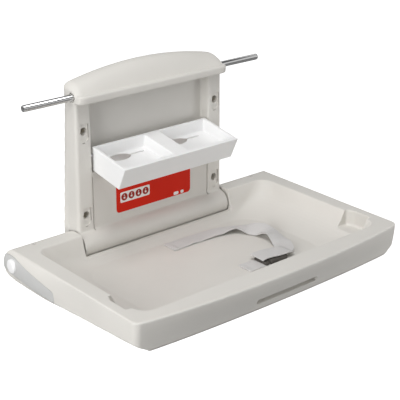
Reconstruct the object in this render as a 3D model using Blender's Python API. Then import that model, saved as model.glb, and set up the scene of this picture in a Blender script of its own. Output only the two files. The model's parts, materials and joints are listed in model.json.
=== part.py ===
"""Wall-mounted fold-down baby changing station, modelled open, in metres.

World frame: +X to the right of a person facing the station, +Y into the wall,
+Z up. The wall plane is y = 0 and the origin is the centre of the four
fixing holes. Every object is one closed body and keeps its own name.
"""
import math

import bmesh
import bpy

MM = 0.001

AXIS_Y, AXIS_Z = -52.0, -180.0      # hinge line of the bed
ROLL_R = 32.0                       # outside radius of the hinge barrel
NOTCH_X = 233.0                     # half width of the notch in the bed
RIM_Z = -143.0                      # top of the bed rim
FLOOR_Z = -215.0                    # top of the basin floor
HOLE_X, HOLE_Z = 203.2, 106.0       # fixing holes
ROD_Y, ROD_Z = -43.0, 190.0
TRAY_Y, TRAY_Z = -48.0, 40.0        # pivot of the liner tray


def clear_startup() -> None:
    """Remove the objects of the start-up file."""
    for obj in list(bpy.data.objects):
        bpy.data.objects.remove(obj, do_unlink=True)


def finish(name: str, bm: bmesh.types.BMesh) -> bpy.types.Object:
    """Turn a bmesh given in millimetres into a named object in metres."""
    bmesh.ops.remove_doubles(bm, verts=bm.verts, dist=0.0005)
    bmesh.ops.recalc_face_normals(bm, faces=bm.faces)
    bmesh.ops.scale(bm, vec=(MM, MM, MM), verts=bm.verts)
    mesh = bpy.data.meshes.new(name)
    bm.to_mesh(mesh)
    bm.free()
    obj = bpy.data.objects.new(name, mesh)
    bpy.context.scene.collection.objects.link(obj)
    return obj


def box(name, x0, x1, y0, y1, z0, z1, bevel=0.0):
    """Axis-aligned box, edges bevelled by ``bevel`` millimetres."""
    bm = bmesh.new()
    bmesh.ops.create_cube(bm, size=1.0)
    bmesh.ops.scale(bm, vec=(x1 - x0, y1 - y0, z1 - z0), verts=bm.verts)
    bmesh.ops.translate(bm, vec=((x0 + x1) / 2, (y0 + y1) / 2, (z0 + z1) / 2), verts=bm.verts)
    if bevel > 0:
        bmesh.ops.bevel(bm, geom=bm.edges[:], offset=bevel, segments=1, affect='EDGES')
    return finish(name, bm)


def loft(name, rings):
    """Closed body through rings of equal length, capped at both ends."""
    bm = bmesh.new()
    rows = [[bm.verts.new(p) for p in ring] for ring in rings]
    count = len(rings[0])
    for a, b in zip(rows, rows[1:]):
        for i in range(count):
            j = (i + 1) % count
            bm.faces.new((a[i], a[j], b[j], b[i]))
    bm.faces.new(rows[0])
    bm.faces.new(rows[-1])
    return finish(name, bm)


def prism_x(name, outline, x0, x1):
    """Extrude a (y, z) outline along X."""
    return loft(name, [[(x, y, z) for y, z in outline] for x in (x0, x1)])


def prism_y(name, outline, y0, y1):
    """Extrude an (x, z) outline along Y."""
    return loft(name, [[(x, y, z) for x, z in outline] for y in (y0, y1)])


def circle(cy, cz, r, n, phase=0.0):
    """Points of a circle in a plane, as pairs."""
    return [(cy + r * math.cos(2 * math.pi * i / n + phase),
             cz + r * math.sin(2 * math.pi * i / n + phase)) for i in range(n)]


def rod_x(name, x0, x1, y, z, r, n=24):
    """Solid cylinder along X."""
    return prism_x(name, circle(y, z, r, n), x0, x1)


def rod_y(name, y0, y1, x, z, r, n=20):
    """Solid cylinder along Y."""
    return prism_y(name, circle(x, z, r, n), y0, y1)


def turned_x(name, profile, y, z, n=24):
    """Closed body of revolution about X from (x, radius) pairs on its outline.

    The outline is a closed loop; a loop that never touches radius 0 gives a
    ring with a hole through it.
    """
    bm = bmesh.new()
    rows = []
    for i in range(n):
        a = 2 * math.pi * i / n
        rows.append([bm.verts.new((x, y + r * math.cos(a), z + r * math.sin(a)))
                     for x, r in profile])
    count = len(profile)
    for i in range(n):
        a, b = rows[i], rows[(i + 1) % n]
        for k in range(count):
            m = (k + 1) % count
            bm.faces.new((a[k], a[m], b[m], b[k]))
    return finish(name, bm)


def turned_y(name, profile, x, z, n=20):
    """Ring of revolution about Y from (y, radius) pairs."""
    bm = bmesh.new()
    rows = []
    for i in range(n):
        a = 2 * math.pi * i / n
        rows.append([bm.verts.new((x + r * math.cos(a), y, z + r * math.sin(a)))
                     for y, r in profile])
    count = len(profile)
    for i in range(n):
        a, b = rows[i], rows[(i + 1) % n]
        for k in range(count):
            m = (k + 1) % count
            bm.faces.new((a[k], a[m], b[m], b[k]))
    return finish(name, bm)


def boolean(target, tools, operation='DIFFERENCE'):
    """Apply exact Booleans one after another and drop the tools."""
    for tool in tools:
        mod = target.modifiers.new('op', 'BOOLEAN')
        mod.operation = operation
        mod.solver = 'EXACT'
        mod.object = tool
        graph = bpy.context.evaluated_depsgraph_get()
        mesh = bpy.data.meshes.new_from_object(target.evaluated_get(graph))
        target.modifiers.clear()
        target.data = mesh
        bpy.data.objects.remove(tool, do_unlink=True)
    bm = bmesh.new()
    bm.from_mesh(target.data)
    bmesh.ops.remove_doubles(bm, verts=bm.verts, dist=1e-6)
    bmesh.ops.dissolve_limit(bm, angle_limit=0.002, verts=bm.verts, edges=bm.edges)
    bmesh.ops.triangulate(bm, faces=bm.faces[:])
    bm.to_mesh(target.data)
    bm.free()
    return target


def cut(target, *tools):
    """Subtract tools from target."""
    return boolean(target, tools, 'DIFFERENCE')


def fuse(target, *tools):
    """Join tools to target."""
    return boolean(target, tools, 'UNION')


def smooth(lo, hi, v):
    """Smooth step from 0 at lo to 1 at hi."""
    t = min(1.0, max(0.0, (v - lo) / (hi - lo)))
    return t * t * (3 - 2 * t)


# ---------------------------------------------------------------- wall frame

def hood_ring(x, inset, z_low):
    """Section of the hood at x: a pillowed top running down to a lip."""
    u = min(1.0, max(0.0, (abs(x) - 206.0) / 20.0))
    end = 1.0 - math.sqrt(1.0 - u * u)
    crest = 246.0 - 28.0 * (x / 230.0) ** 2 - 14.0 * end - inset
    crease = 198.0 - inset
    back, front = -3.5 if inset < 1 else -2.0, -80.0 + inset + 6.0 * end
    ring = [(x, back, z_low), (x, back, crest - 7.0), (x, -10.0, crest - 2.0)]
    for i in range(5):
        t = i / 5
        ring.append((x, -22.0 - (47.0 - inset) * t, crease + (crest - crease) * (1.0 - t ** 1.8)))
    ring += [(x, min(-69.0 + inset, front + 5.0), crease), (x, front + 1.5, crease - 0.8),
             (x, front, crease - 4.0), (x, front + 2.5, z_low)]
    return ring


def build_wall_frame():
    """Rails, hood, recessed panels and hinge barrel in one moulding."""
    hood = loft('wall_frame', [hood_ring(x, 0.0, 177.0) for x in
                               (-226, -223, -216, -206, -160, -115, -60, 0, 60, 115, 160, 206, 216, 223, 226)])
    cut(hood, loft('t', [hood_ring(x, 4.0, 170.0) for x in
                         (-222, -213, -203, -160, -115, -60, 0, 60, 115, 160, 203, 213, 222)]))
    for s in (-1, 1):
        rail = prism_y('t', [(s * 182.3, -150.5), (s * 228, -150.5), (s * 224, 179.5),
                             (s * 182.3, 179.5)], -55.0, -3.4)
        for z0, z1 in ((-146, -128), (-84, 84), (128, 175.5)):
            outer = 228.0 - 4.0 * (z1 + 150.5) / 330.0 - 4.0
            cut(rail, box('t', *sorted((s * 186.5, s * outer)), -51.0, -1.0, z0, z1))
        fuse(hood, rail)
    arch = [(x, 244.0 - 28.0 * (x / 230.0) ** 2) for x in (184, 140, 95, 48, 0, -48, -95, -140, -184)]
    fuse(hood,
         prism_y('t', [(-184, -6), (184, -6)] + arch, -24.5, -20.5),
         box('t', -184, 184, -51.0, -47.0, -153, -3),
         box('t', -184, 184, -49.5, -21.5, -7, -3.2),
         rod_x('t', -229, 229, AXIS_Y, AXIS_Z, ROLL_R, 40),
         box('t', -212, 212, -30.0, -3.4, -196, -151.5))
    cut(hood, rod_x('t', -240, 240, AXIS_Y, AXIS_Z, 27.0, 32))
    for s in (-1, 1):
        cut(hood, rod_x('t', *sorted((s * 212, s * 250)), ROD_Y, ROD_Z, 11.0, 20))
        cut(hood, rod_x('t', *sorted((s * 176, s * 190)), TRAY_Y, TRAY_Z, 3.3, 12))
        for z in (-HOLE_Z, HOLE_Z):
            cut(hood, box('t', s * HOLE_X - 14, s * HOLE_X + 14, -60, -51.5, z - 25, z + 25),
                rod_y('t', -60, -18, s * HOLE_X, z, 11.0, 20),
                rod_y('t', -30, 0, s * HOLE_X, z, 5.6, 16))
    return hood


def build_frame_parts():
    """Back plate, shaft, barrel rings, rod, label and wall fixings."""
    plate = box('back_plate', -212, 212, -3.0, 0.0, -197, 198)
    for s in (-1, 1):
        for z in (-HOLE_Z, HOLE_Z):
            cut(plate, rod_y('t', -5, 2, s * HOLE_X, z, 5.6, 16))
    turned_x('hinge_shaft', [(-401, 9.5), (401, 9.5), (401, 12.5), (-401, 12.5)], AXIS_Y, AXIS_Z)
    for s, side in ((-1, 'left'), (1, 'right')):
        a, b = s * 205, s * 228
        turned_x('barrel_ring_' + side, [(a, 12.8), (b, 12.8), (b, 26.7), (a, 26.7)], AXIS_Y, AXIS_Z)
        a, b, c = s * 218.5, s * 226.3, s * 229.3
        turned_x('rod_grommet_' + side,
                 [(a, 8.3), (c, 8.3), (c, 13.0), (b, 13.0), (b, 10.7), (a, 10.7)], ROD_Y, ROD_Z, 20)
        turned_x('rod_plug_' + side,
                 [(s * 340, 0.001), (s * 357.5, 0.001), (s * 357.5, 7.0), (s * 356.5, 8.0),
                  (s * 354.3, 8.0), (s * 354.3, 6.2), (s * 340, 6.2)], ROD_Y, ROD_Z, 20)
        for z, level in ((HOLE_Z, 'upper'), (-HOLE_Z, 'lower')):
            x = s * HOLE_X
            turned_y('wall_washer_%s_%s' % (side, level),
                     [(-22.3, 5.4), (-20.3, 5.4), (-20.3, 10.2), (-22.3, 10.2)], x, z)
            turned_y('wall_anchor_%s_%s' % (side, level),
                     [(-34.5, 0.001), (17.0, 0.001), (17.0, 5.0), (-22.6, 5.0), (-22.6, 8.4),
                      (-29.6, 8.4), (-29.6, 4.4), (-34.5, 4.4)], x, z, 18)
    turned_x('hanging_rod', [(-354, 6.5), (354, 6.5), (354, 8.0), (-354, 8.0)], ROD_Y, ROD_Z)
    box('instruction_label', -112, 124, -51.6, -51.3, -127, -22)


# ----------------------------------------------------------------------- bed

def front_y(x):
    """Front edge of the rim, bowed towards the user."""
    return -(509.0 + 31.0 * max(0.0, 1.0 - (x / 405.0) ** 2) ** 0.8)


def bed_plan():
    """Nominal plan of the bed side wall: (side, x fraction, y fraction)."""
    pts = []
    for i in range(7):                                   # left side, rear to front
        pts.append((-1.0, i / 6 * 0.93))
    for i in range(1, 5):                                # rounded front-left corner
        a = math.pi / 2 * i / 5
        pts.append((-1.0 + 0.055 * (1 - math.cos(a)), 0.93 + 0.07 * math.sin(a)))
    for i in range(17):
        pts.append((-0.945 + 1.89 * i / 16, 1.0))
    for i in range(4, 0, -1):
        a = math.pi / 2 * i / 5
        pts.append((1.0 - 0.055 * (1 - math.cos(a)), 0.93 + 0.07 * math.sin(a)))
    for i in range(6, -1, -1):
        pts.append((1.0, i / 6 * 0.93))
    return pts


def bed_ring(z, grow=0.0):
    """Outline of the bed at height z; ``grow`` moves it in (negative) or out."""
    t = smooth(-150.0, -222.0, z) if z < -150 else 0.0
    swell = max(0.0, 1.0 - ((z + 184.0) / 42.0) ** 2)
    edge = 2.5 if z > -144.5 else 0.0
    h = min(1.0, abs(z - AXIS_Z) / (37.5 + max(0.0, -213.0 - z)))
    rear = AXIS_Y + 2.0 + 33.0 * max(0.02, 1.0 - h ** 3) ** (1 / 3) + grow
    if z < -213.0:
        rear = min(rear, AXIS_Y + 6.0 + grow)
    ring = []
    for fx, fy in bed_plan():
        yf = front_y(fx * 405) + 22.0 * t + edge - grow
        y = rear + (yf - rear) * fy
        fade = 1.0 - smooth(-110.0, -330.0, y) if y < -110 else 1.0
        lean = smooth(-230.0, -500.0, y) if y < -230 else 0.0
        half = 405.0 - edge + 13.0 * swell * fade - 27.0 * t * lean - 3.0 * t + grow
        ring.append((fx * half, y, z))
    return ring


def basin_ring(z, grow=0.0):
    """Outline of the basin at height z, drawn in towards the floor."""
    d = (RIM_Z - z) / (RIM_Z - FLOOR_Z)
    d = min(1.0, max(0.0, d))
    side = 92.0 * (0.35 * d + 0.65 * d ** 4) - grow
    back = 40.0 * (0.45 * d + 0.55 * d ** 5) - grow
    front = 46.0 * (0.4 * d + 0.6 * d ** 4) - grow
    half, y0, y1 = 364.0 - side, -76.0 - back, -480.0 + front
    rad = 34.0 + 40.0 * d
    ring = []
    corners = ((-1, y0, 90, 180), (-1, y1, 180, 270), (1, y1, 270, 360), (1, y0, 0, 90))
    for sx, yy, a0, a1 in corners:
        cx = sx * (half - rad)
        cy = yy - rad if yy == y0 else yy + rad
        for i in range(6):
            a = math.radians(a0 + (a1 - a0) * i / 5)
            ring.append((cx + rad * math.cos(a), cy + rad * math.sin(a), z))
    return ring


def notch_tools(grow=0.0):
    """Clearance for the hinge barrel and the wall frame."""
    w = NOTCH_X + grow
    r = ROLL_R + 2.5 + grow
    outline = [(AXIS_Y, -260.0), (AXIS_Y, AXIS_Z - r)]
    for i in range(1, 8):
        a = math.radians(270 - 8.5 * i)
        outline.append((AXIS_Y + r * math.cos(a), AXIS_Z + r * math.sin(a)))
    outline += [(-98.0 - grow, -196.0 - grow), (-104.0 - grow, -180.0), (-104.0 - grow, -100.0),
                (40.0, -100.0), (40.0, -260.0)]
    return prism_x('t', outline, -w, w)


def pocket(s, grow=0.0):
    """Hook pocket that also clears the end of the hanging rod."""
    g = grow
    return loft('t', [[(s * (318 - g), -372 + g, z), (s * (372 + g), -372 + g, z),
                       (s * (380 + g), -392, z), (s * (380 + g), -445 - g, z),
                       (s * (318 - g), -445 - g, z)] for z in (-184 - g, -130)])


def build_bed():
    """Basin moulding with rim, and the pan that closes it below."""
    levels = (-143.0, -144.6, -149.0, -158.0, -168.0, -178.0, -188.0, -198.0, -207.0, -213.0, -217.0)
    tray = loft('bed_tray', [bed_ring(z) for z in levels])
    cut(tray, loft('t', [basin_ring(z) for z in
                         (-140.0, -143.0, -150.0, -165.0, -182.0, -197.0, -207.0, -212.0, FLOOR_Z)]),
        notch_tools())
    hollow = loft('t', [bed_ring(z, -5.0) for z in (-148.5, -158, -170, -182, -194, -205)]
                  + [[(x, y, z) for x, y, _ in bed_ring(-217.0, -5.0)] for z in (-211.0, -225.0)])
    cut(hollow, loft('t', [basin_ring(z, 5.0) for z in
                           (-140.0, -155.0, -170.0, -187.0, -202.0, -211.0)]
                     + [[(x, y, -219.0) for x, y, _ in basin_ring(-214.0, 5.0)]]),
        notch_tools(4.5), pocket(-1, 4.0), pocket(1, 4.0),
        box('t', -84, 112, -600, -490, -203, -185))
    cut(tray, hollow, pocket(-1), pocket(1),
        box('t', -80, 108, -600, -508, -199, -189))
    for s in (-1, 1):
        cut(tray, rod_x('t', *sorted((s * 225, s * 245)), AXIS_Y, AXIS_Z, 20.3, 28),
            rod_x('t', *sorted((s * 398, s * 430)), AXIS_Y, AXIS_Z, 20.3, 28))
    recess = [(AXIS_Y, AXIS_Z + 25.0)]
    for i in range(1, 9):
        a = math.radians(90 - 22.5 * i)
        recess.append((AXIS_Y + 25.0 * math.cos(a), AXIS_Z + 25.0 * math.sin(a)))
    recess += [(-120, -212.5), (-204, -213.5), (-209, -209), (-209, -196), (-203, -191),
               (-134, -178), (-92, -165)]

    def inset(points, d):
        cy = sum(p[0] for p in points) / len(points)
        out = []
        for y, z in points:
            out.append((y + (d if y < cy else -d), z + (d if z < -192 else -d)))
        return out

    for s, side in ((-1, 'left'), (1, 'right')):
        a, b = sorted((s * 409.5, s * 440))
        cover = loft('side_cover_' + side, [bed_ring(z, -0.2) for z in levels[1:]])
        boolean(cover, [prism_x('t', inset(recess, 0.5), a, b)], 'INTERSECT')
        cut(cover, rod_x('t', a - 5, b + 5, AXIS_Y, AXIS_Z, 20.7, 28))
        a, b = sorted((s * 409.0, s * 445))
        cut(tray, prism_x('t', recess, a, b))
        turned_x('pivot_cap_' + side,
                 [(s * 402, 0.001), (s * 421.5, 0.001), (s * 421.5, 15.0), (s * 420.0, 18.6), (s * 416.5, 20.2),
                  (s * 410.2, 20.2), (s * 410.2, 9.0), (s * 402, 9.0)], AXIS_Y, AXIS_Z, 28)
        turned_x('bush_inner_' + side,
                 [(s * 232.0, 12.8), (s * 262, 12.8), (s * 262, 18.0), (s * 240, 18.0),
                  (s * 240, 20.0), (s * 232.0, 20.0)], AXIS_Y, AXIS_Z, 28)
        turned_x('bush_outer_' + side,
                 [(s * 378, 12.8), (s * 408.6, 12.8), (s * 408.6, 20.0), (s * 399, 20.0),
                  (s * 399, 18.0), (s * 378, 18.0)], AXIS_Y, AXIS_Z, 28)
        box('stiffener_' + side, *sorted((s * 346, s * 362)), -460, -110, -210, -192, 1.5)
    box('stiffener_front', -320, 320, -487, -471, -210, -192, 1.5)

    pan = loft('bed_underside', [
        [(x, y, -217.4) for x, y, _ in bed_ring(-217.0, -0.5)],
        [(x, y, -222.0) for x, y, _ in bed_ring(-217.0, -6.0)],
        [(x, y, -227.0) for x, y, _ in bed_ring(-217.0, -20.0)],
        [(x, y, -230.0) for x, y, _ in bed_ring(-217.0, -45.0)]])
    cut(pan, loft('t', [
        [(x, y, -210.0) for x, y, _ in bed_ring(-217.0, -9.0)],
        [(x, y, -221.0) for x, y, _ in bed_ring(-217.0, -13.0)],
        [(x, y, -226.5) for x, y, _ in bed_ring(-217.0, -40.0)]]))
    rear = prism_x('t', [(AXIS_Y - 4.0, -300), (AXIS_Y - 4.0, -200), (100, -200), (100, -300)],
                   -NOTCH_X - 5, NOTCH_X + 5)
    cut(pan, rear)
    fuse(pan, prism_x('t', [(AXIS_Y - 4.0, -217.4), (AXIS_Y - 9.0, -217.4), (AXIS_Y - 9.0, -227.5),
                            (AXIS_Y - 4.0, -227.5)], -NOTCH_X - 20, NOTCH_X + 20))
    return tray


# ---------------------------------------------------------------- liner tray

def build_liner_tray():
    """White tray with two wells, each with a tissue-type opening."""
    slope = math.tan(math.radians(10.0))
    x1 = 176.0

    def side(z_back_low, z_back_top, y_front, lean):
        y_back = -46.0
        low_front = y_front + lean
        return [(y_back, z_back_low), (y_back, z_back_top),
                (y_front, z_back_top - slope * (y_back - y_front)),
                (low_front, z_back_low - slope * (y_back - low_front))]

    tray = prism_x('liner_tray', side(1.0, 61.0, -176.5, 26.0), -x1, x1)
    floor = 21.0
    for a, b in ((-x1 + 4, -18), (18, x1 - 4)):
        well = loft('t', [
            [(a, -50, 90), (b, -50, 90), (b, -171, 70), (a, -171, 70)],
            [(a + 8, -54, floor - slope * 4), (b - 8, -54, floor - slope * 4),
             (b - 8, -158, floor - slope * 108), (a + 8, -158, floor - slope * 108)]])
        cut(tray, well)
    cut(tray, loft('t', [
        [(-x1 + 4, -50, -20), (x1 - 4, -50, -20), (x1 - 4, -136.7, -38), (-x1 + 4, -136.7, -38)],
        [(-x1 + 4, -50, 17.3), (x1 - 4, -50, 17.3), (x1 - 4, -153.9, 17.3 - slope * 103.9),
         (-x1 + 4, -153.9, 17.3 - slope * 103.9)]]))
    for cx in (-92.0, 92.0):
        outline = []
        for i in range(14):
            a = math.pi * i / 13
            outline.append((cx + 34 * math.cos(a), -96 + 19 * math.sin(a)))
        for i in range(1, 13):
            a = math.pi + math.pi * i / 13
            outline.append((cx + 34 * math.cos(a), -96 + 19 * math.sin(a)))
        cut(tray, loft('t', [[(x, y, z) for x, y in outline] for z in (0.0, 40.0)]))
        cut(tray, box('t', cx - 64, cx + 64, -98.5, -93.5, -4, 40))
    for s in (-1, 1):
        fuse(tray, prism_x('t', [(-49.0, 33.0), (-44.5, 33.0), (-43.0, 40.0), (-44.5, 47.0),
                                 (-49.0, 47.0)], *sorted((s * 160, s * 176))))
        cut(tray, rod_x('t', *sorted((s * 156, s * 180)), TRAY_Y, TRAY_Z, 3.3, 12))
    for s, name in ((-1, 'left'), (1, 'right')):
        rod_x('tray_pin_' + name, *sorted((s * 158.0, s * 189.0)), TRAY_Y, TRAY_Z, 3.0, 12)
        fuse(tray, box('t', *sorted((s * 120, s * 140)), -47.0, -26.0, 6.0, 10.5))
    return tray


# --------------------------------------------------------------------- strap

def ribbon(name, path, width, thick):
    """Flat webbing laid along a plan path at a height above the floor."""
    rings = []
    for i, (x, y, z) in enumerate(path):
        x0, y0, _ = path[max(0, i - 1)]
        x1, y1, _ = path[min(len(path) - 1, i + 1)]
        d = math.hypot(x1 - x0, y1 - y0)
        nx, ny = -(y1 - y0) / d * width / 2, (x1 - x0) / d * width / 2
        rings.append([(x - nx, y - ny, z), (x + nx, y + ny, z),
                      (x + nx, y + ny, z + thick), (x - nx, y - ny, z + thick)])
    return loft(name, rings)


def build_strap():
    """Safety strap: two webbing halves, anchor plates and a buckle."""
    z = FLOOR_Z + 0.4
    ribbon('strap_long', [(-6, -145, z), (40, -144, z), (90, -146, z), (140, -154, z),
                          (180, -172, z), (205, -205, z), (216, -245, z), (214, -285, z),
                          (202, -317, z), (190, -337, z), (177, -348, z)], 46.0, 1.8)
    box('strap_plate_rear', -22, -7, -169, -121, z, z + 3.0, 0.6)
    body = box('buckle_body', 106, 162, -377, -331, z, z + 11.0, 3.0)
    cut(body, box('t', 98, 132, -370, -338, z + 2.8, z + 8.2))
    box('buckle_tongue', 90, 129, -368, -340, z + 3.4, z + 7.6, 0.8)
    box('strap_short', 52, 89, -376, -332, z, z + 1.8)
    box('strap_plate_front', 40, 51.5, -377, -331, z, z + 3.0, 0.6)


def main() -> None:
    """Build every named body of the station."""
    clear_startup()
    build_wall_frame()
    build_frame_parts()
    build_bed()
    build_liner_tray()
    build_strap()


main()
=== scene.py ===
"""Looks of a wall-mounted fold-down baby changing station, shown open.

Lengths are millimetres in the code and metres in the meshes. +X is to the
right of a person facing the station, +Y goes into the wall, +Z is up, and the
origin is the centre of the four fixing holes.
"""
from __future__ import annotations

import json
import logging
import math
from dataclasses import dataclass
from enum import Enum
from typing import Iterable, Sequence

import bmesh
import bpy
from mathutils import Matrix, Vector

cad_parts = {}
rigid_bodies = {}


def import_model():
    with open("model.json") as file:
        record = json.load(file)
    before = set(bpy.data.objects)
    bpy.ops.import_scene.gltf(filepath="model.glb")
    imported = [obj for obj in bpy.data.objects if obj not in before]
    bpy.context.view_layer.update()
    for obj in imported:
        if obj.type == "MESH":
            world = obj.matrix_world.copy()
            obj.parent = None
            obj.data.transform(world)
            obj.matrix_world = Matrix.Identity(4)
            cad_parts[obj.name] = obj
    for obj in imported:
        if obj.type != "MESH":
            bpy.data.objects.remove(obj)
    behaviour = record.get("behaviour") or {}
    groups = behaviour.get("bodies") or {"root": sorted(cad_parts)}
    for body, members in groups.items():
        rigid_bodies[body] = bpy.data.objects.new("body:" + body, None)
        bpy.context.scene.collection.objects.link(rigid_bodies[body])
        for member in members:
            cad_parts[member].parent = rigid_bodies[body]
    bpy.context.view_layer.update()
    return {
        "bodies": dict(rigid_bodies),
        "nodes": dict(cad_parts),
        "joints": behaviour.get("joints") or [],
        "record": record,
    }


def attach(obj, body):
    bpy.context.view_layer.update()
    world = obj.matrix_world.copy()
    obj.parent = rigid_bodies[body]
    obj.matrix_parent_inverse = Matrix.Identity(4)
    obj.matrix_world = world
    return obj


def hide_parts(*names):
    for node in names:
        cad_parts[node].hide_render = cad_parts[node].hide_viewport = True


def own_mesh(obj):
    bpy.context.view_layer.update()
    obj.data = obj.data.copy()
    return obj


LOG = logging.getLogger("changing_station")
MM = 0.001
HINGE_Y, HINGE_Z = -52.0, -180.0  # bed hinge axis
ROD_Y, ROD_Z = -43.0, 190.0  # rod axis
RIM_Z, FLOOR_Z = -143.0, -215.0  # top of the bed rim and floor of the basin
CAP_Z = -177.0  # centre of the round side cap
PANEL_HALF = 184.0  # half width of the recessed panels
DIMPLE_X, DIMPLE_Y, DIMPLE_R = 348.0, -42.1, 3.2  # moulding dimples on the rim
Point = tuple[float, float, float]
Pair = tuple[float, float]


class Body(str, Enum):
    """Moving bodies of the station."""

    FRAME = "frame"
    BED = "bed"
    TRAY = "tray"


class Side(Enum):
    """Left and right hand of the station."""

    LEFT = -1
    RIGHT = 1

    @property
    def label(self) -> str:
        """Lower-case name used in node names."""
        return self.name.lower()


# --------------------------------------------------------------------------
# finishes


@dataclass(frozen=True)
class Finish:
    """A procedural material.

    Attributes:
        name: Material name.
        color: Linear base colour.
        roughness: Mean roughness.
        metallic: Metalness.
        grain: Bump grain size in millimetres.
        depth: Bump strength.
        mottle: Share by which the colour drifts over the surface.
        coat: Clear coat weight.
        sheen: Sheen weight.
        specular: Strength of the plain reflection.
    """

    name: str
    color: tuple[float, float, float]
    roughness: float = 0.5
    metallic: float = 0.0
    grain: float = 1.2
    depth: float = 0.05
    mottle: float = 0.03
    coat: float = 0.0
    sheen: float = 0.0
    specular: float = 0.5

    def build(self) -> bpy.types.Material:
        """Make the material, or return the one already made."""
        known = bpy.data.materials.get(self.name)
        if known is not None:
            return known
        mat = bpy.data.materials.new(self.name)
        mat.use_nodes = True
        tree = mat.node_tree
        shader = tree.nodes["Principled BSDF"]
        shader.inputs["Metallic"].default_value = self.metallic
        shader.inputs["Coat Weight"].default_value = self.coat
        shader.inputs["Sheen Weight"].default_value = self.sheen
        shader.inputs["Specular IOR Level"].default_value = self.specular
        coords = tree.nodes.new("ShaderNodeTexCoord")
        self.colour(tree, coords, shader)
        self.relief(tree, coords, shader)
        return mat

    def colour(self, tree: bpy.types.NodeTree, coords: bpy.types.Node,
               shader: bpy.types.Node) -> None:
        """Drift of colour and gloss over the surface.

        Args:
            tree: Node tree to add to.
            coords: Texture coordinate node.
            shader: Principled shader.
        """
        cloud = tree.nodes.new("ShaderNodeTexNoise")
        cloud.inputs["Scale"].default_value = 9.0
        cloud.inputs["Detail"].default_value = 5.0
        tree.links.new(coords.outputs["Object"], cloud.inputs["Vector"])
        ramp = tree.nodes.new("ShaderNodeValToRGB")
        low = tuple(c * (1.0 - self.mottle) for c in self.color)
        high = tuple(min(1.0, c * (1.0 + self.mottle)) for c in self.color)
        ramp.color_ramp.elements[0].position = 0.35
        ramp.color_ramp.elements[0].color = (*low, 1.0)
        ramp.color_ramp.elements[1].position = 0.65
        ramp.color_ramp.elements[1].color = (*high, 1.0)
        tree.links.new(cloud.outputs["Fac"], ramp.inputs["Fac"])
        tree.links.new(ramp.outputs["Color"], shader.inputs["Base Color"])
        gloss = tree.nodes.new("ShaderNodeMapRange")
        gloss.inputs["To Min"].default_value = self.roughness - 0.05
        gloss.inputs["To Max"].default_value = self.roughness + 0.05
        tree.links.new(cloud.outputs["Fac"], gloss.inputs["Value"])
        tree.links.new(gloss.outputs["Result"], shader.inputs["Roughness"])

    def relief(self, tree: bpy.types.NodeTree, coords: bpy.types.Node,
               shader: bpy.types.Node) -> None:
        """Fine moulded grain as bump.

        Args:
            tree: Node tree to add to.
            coords: Texture coordinate node.
            shader: Principled shader.
        """
        grain = tree.nodes.new("ShaderNodeTexNoise")
        grain.inputs["Scale"].default_value = 1000.0 / self.grain
        grain.inputs["Detail"].default_value = 3.0
        tree.links.new(coords.outputs["Object"], grain.inputs["Vector"])
        bump = tree.nodes.new("ShaderNodeBump")
        bump.inputs["Strength"].default_value = self.depth
        bump.inputs["Distance"].default_value = 0.0006
        tree.links.new(grain.outputs["Fac"], bump.inputs["Height"])
        tree.links.new(bump.outputs["Normal"], shader.inputs["Normal"])


@dataclass(frozen=True)
class Webbing(Finish):
    """Woven polyester strap; ribs follow the strap's own UV map."""

    def relief(self, tree: bpy.types.NodeTree, coords: bpy.types.Node,
               shader: bpy.types.Node) -> None:
        """Herringbone ribs and cross picks of the weave as bump."""
        uv = coords.outputs["UV"]
        warp = tree.nodes.new("ShaderNodeTexWave")
        warp.wave_type = "BANDS"
        warp.bands_direction = "Y"
        warp.inputs["Scale"].default_value = 190.0
        warp.inputs["Distortion"].default_value = 0.4
        tree.links.new(uv, warp.inputs["Vector"])
        pick = tree.nodes.new("ShaderNodeTexWave")
        pick.wave_type = "BANDS"
        pick.bands_direction = "DIAGONAL"
        pick.inputs["Scale"].default_value = 260.0
        tree.links.new(uv, pick.inputs["Vector"])
        mix = tree.nodes.new("ShaderNodeMath")
        mix.operation = "ADD"
        tree.links.new(warp.outputs["Fac"], mix.inputs[0])
        tree.links.new(pick.outputs["Fac"], mix.inputs[1])
        bump = tree.nodes.new("ShaderNodeBump")
        bump.inputs["Strength"].default_value = self.depth
        bump.inputs["Distance"].default_value = 0.0004
        tree.links.new(mix.outputs["Value"], bump.inputs["Height"])
        tree.links.new(bump.outputs["Normal"], shader.inputs["Normal"])


SHELL = Finish("shell_polyethylene", (0.70, 0.68, 0.64),
               roughness=0.50, grain=1.4, depth=0.10, mottle=0.012)
TRAY_WHITE = Finish("tray_white_abs", (0.90, 0.90, 0.90),
                    roughness=0.38, grain=1.0, depth=0.04, mottle=0.01)
COVER_GREY = Finish("cover_grey_plastic", (0.56, 0.56, 0.55),
                    roughness=0.5, grain=0.9, depth=0.08, mottle=0.02)
CAP_WHITE = Finish("cap_white_plastic", (0.90, 0.90, 0.90),
                   roughness=0.35, grain=0.8, depth=0.03, mottle=0.01)
ROD_STEEL = Finish("rod_polished_steel", (0.62, 0.62, 0.62),
                   roughness=0.14, metallic=1.0, grain=0.6, depth=0.015, mottle=0.05)
STEEL = Finish("bare_steel", (0.45, 0.45, 0.46),
               roughness=0.40, metallic=1.0, grain=0.5, depth=0.05, mottle=0.06)
NYLON = Finish("natural_nylon", (0.74, 0.73, 0.70),
               roughness=0.45, grain=0.8, depth=0.04, mottle=0.02)
PLATED = Finish("yellow_zinc_plate", (0.62, 0.50, 0.22),
                roughness=0.34, metallic=1.0, grain=0.6, depth=0.05, mottle=0.10)
LABEL_RED = Finish("label_red_film", (0.66, 0.020, 0.006),
                   roughness=0.45, specular=0.12, grain=0.7, depth=0.02, mottle=0.02)
LABEL_WHITE = Finish("label_white_ink", (0.86, 0.84, 0.82),
                     roughness=0.4, grain=0.7, depth=0.02, mottle=0.02)
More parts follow.
